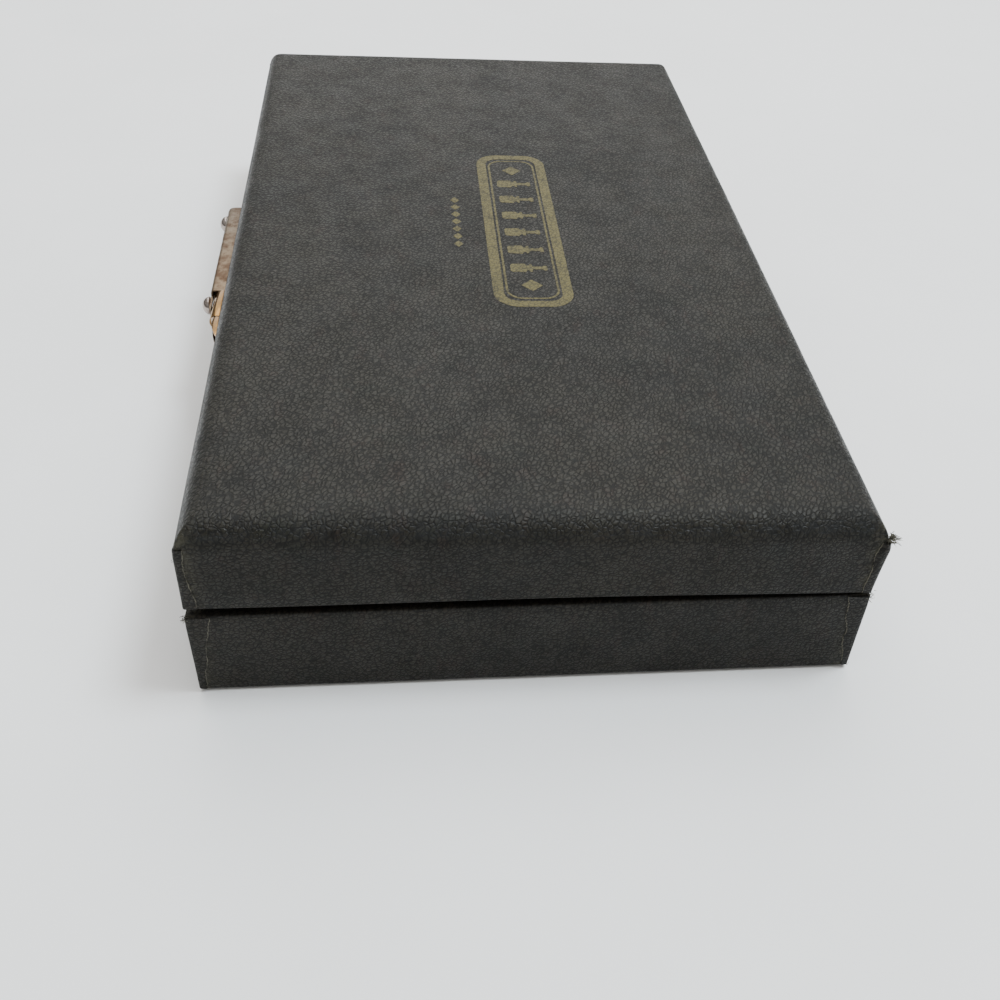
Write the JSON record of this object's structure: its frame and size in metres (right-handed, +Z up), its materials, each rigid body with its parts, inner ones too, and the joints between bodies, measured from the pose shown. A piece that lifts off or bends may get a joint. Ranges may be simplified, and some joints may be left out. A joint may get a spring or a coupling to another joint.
{
  "type": "precision screwdriver set",
  "caption": "Flat hinged leatherette case with a nailed flap latch, holding swivel-cap precision screwdrivers in a flocked tray.",
  "frame": {"origin": "centre of the flat underside of the case's bottom sheet", "axes": "+X along the case, +Y towards the hinges, +Z up through the lid"},
  "size_m": [0.156, 0.0961, 0.0291],
  "materials": {
    "leatherette": "dark grey-brown pebble-grained leatherette, slightly worn",
    "pulp_board": "unfinished compressed wood-pulp board",
    "base_paper": "fine-grained leathercloth sheet on the underside",
    "flock": "wine-red flocking",
    "satin": "champagne satin",
    "gilt_brass": "bright gilt brass sheet",
    "worn_brass": "copper-brown worn plated brass sheet",
    "nickel": "tarnished nickel-plated heads and pins",
    "spring_steel": "spring steel strip",
    "handle_metal": "bright plated knurled metal",
    "blade_steel": "ground tool steel",
    "ring_red": "colour-coding ring",
    "ring_yellow": "colour-coding ring",
    "ring_green": "colour-coding ring",
    "ring_blue": "colour-coding ring",
    "ring_black": "colour-coding ring",
    "ring_white": "colour-coding ring"
  },
  "bodies": {
    "base": {"base_bottom_board": "pulp_board", "base_bottom_sheet": "base_paper", "base_covering": "leatherette", "base_frame": "pulp_board", "hinge_1_base_leaf": "gilt_brass", "hinge_1_nail_1": "nickel", "hinge_1_nail_2": "nickel", "hinge_1_pin": "nickel", "hinge_2_base_leaf": "gilt_brass", "hinge_2_nail_1": "nickel", "hinge_2_nail_2": "nickel", "hinge_2_pin": "nickel", "keeper_nail_1": "nickel", "keeper_nail_2": "nickel", "keeper_plate": "gilt_brass", "tool_tray": "flock"},
    "lid": {"hinge_1_lid_leaf": "gilt_brass", "hinge_1_nail_3": "nickel", "hinge_1_nail_4": "nickel", "hinge_2_lid_leaf": "gilt_brass", "hinge_2_nail_3": "nickel", "hinge_2_nail_4": "nickel", "latch_hinge_plate": "gilt_brass", "latch_pin": "nickel", "latch_plate_nail_1": "nickel", "latch_plate_nail_2": "nickel", "lid_covering": "leatherette", "lid_frame": "pulp_board", "lid_lining": "satin", "lid_pad": "satin", "lid_top_board": "pulp_board"},
    "latch_flap": {"latch_flap": "worn_brass", "latch_rivet_far": "nickel", "latch_rivet_near": "nickel", "latch_spring_clip": "spring_steel"},
    "driver_1": {"driver_1_blade": "blade_steel", "driver_1_handle": "handle_metal", "driver_1_ring": "ring_red"},
    "driver_1_cap": {"driver_1_cap": "handle_metal"},
    "driver_2": {"driver_2_blade": "blade_steel", "driver_2_handle": "handle_metal", "driver_2_ring": "ring_yellow"},
    "driver_2_cap": {"driver_2_cap": "handle_metal"},
    "driver_3": {"driver_3_blade": "blade_steel", "driver_3_handle": "handle_metal", "driver_3_ring": "ring_green"},
    "driver_3_cap": {"driver_3_cap": "handle_metal"},
    "driver_4": {"driver_4_blade": "blade_steel", "driver_4_handle": "handle_metal", "driver_4_ring": "ring_blue"},
    "driver_4_cap": {"driver_4_cap": "handle_metal"},
    "driver_5": {"driver_5_blade": "blade_steel", "driver_5_handle": "handle_metal", "driver_5_ring": "ring_black"},
    "driver_5_cap": {"driver_5_cap": "handle_metal"},
    "driver_6": {"driver_6_blade": "blade_steel", "driver_6_handle": "handle_metal", "driver_6_ring": "ring_white"},
    "driver_6_cap": {"driver_6_cap": "handle_metal"}
  },
  "joints": [
    {"name": "lid_open", "type": "hinge", "parent": "base", "child": "lid", "pos_m": [0, 0.04555, 0.0143], "axis": [-1, 0, 0], "range_deg": [0, 178]},
    {"name": "latch_swing", "type": "hinge", "parent": "lid", "child": "latch_flap", "pos_m": [-0.0041, -0.04637, 0.01885], "axis": [-1, 0, 0], "range_deg": [0, 100]},
    {"name": "driver_1_lift", "type": "slide", "parent": "base", "child": "driver_1", "axis": [0, 0, 1], "range_m": [0, 0.008]},
    {"name": "driver_2_lift", "type": "slide", "parent": "base", "child": "driver_2", "axis": [0, 0, 1], "range_m": [0, 0.008]},
    {"name": "driver_3_lift", "type": "slide", "parent": "base", "child": "driver_3", "axis": [0, 0, 1], "range_m": [0, 0.008]},
    {"name": "driver_4_lift", "type": "slide", "parent": "base", "child": "driver_4", "axis": [0, 0, 1], "range_m": [0, 0.008]},
    {"name": "driver_5_lift", "type": "slide", "parent": "base", "child": "driver_5", "axis": [0, 0, 1], "range_m": [0, 0.008]},
    {"name": "driver_6_lift", "type": "slide", "parent": "base", "child": "driver_6", "axis": [0, 0, 1], "range_m": [0, 0.008]},
    {"name": "driver_1_cap_spin", "type": "hinge", "parent": "driver_1", "child": "driver_1_cap", "pos_m": [-0.06, -0.031, 0.009], "axis": [1, 0, 0], "continuous": true},
    {"name": "driver_2_cap_spin", "type": "hinge", "parent": "driver_2", "child": "driver_2_cap", "pos_m": [-0.06, -0.0186, 0.009], "axis": [1, 0, 0], "continuous": true},
    {"name": "driver_3_cap_spin", "type": "hinge", "parent": "driver_3", "child": "driver_3_cap", "pos_m": [-0.06, -0.0062, 0.009], "axis": [1, 0, 0], "continuous": true},
    {"name": "driver_4_cap_spin", "type": "hinge", "parent": "driver_4", "child": "driver_4_cap", "pos_m": [-0.06, 0.0062, 0.009], "axis": [1, 0, 0], "continuous": true},
    {"name": "driver_5_cap_spin", "type": "hinge", "parent": "driver_5", "child": "driver_5_cap", "pos_m": [-0.06, 0.0186, 0.009], "axis": [1, 0, 0], "continuous": true},
    {"name": "driver_6_cap_spin", "type": "hinge", "parent": "driver_6", "child": "driver_6_cap", "pos_m": [-0.06, 0.031, 0.009], "axis": [1, 0, 0], "continuous": true}
  ]
}
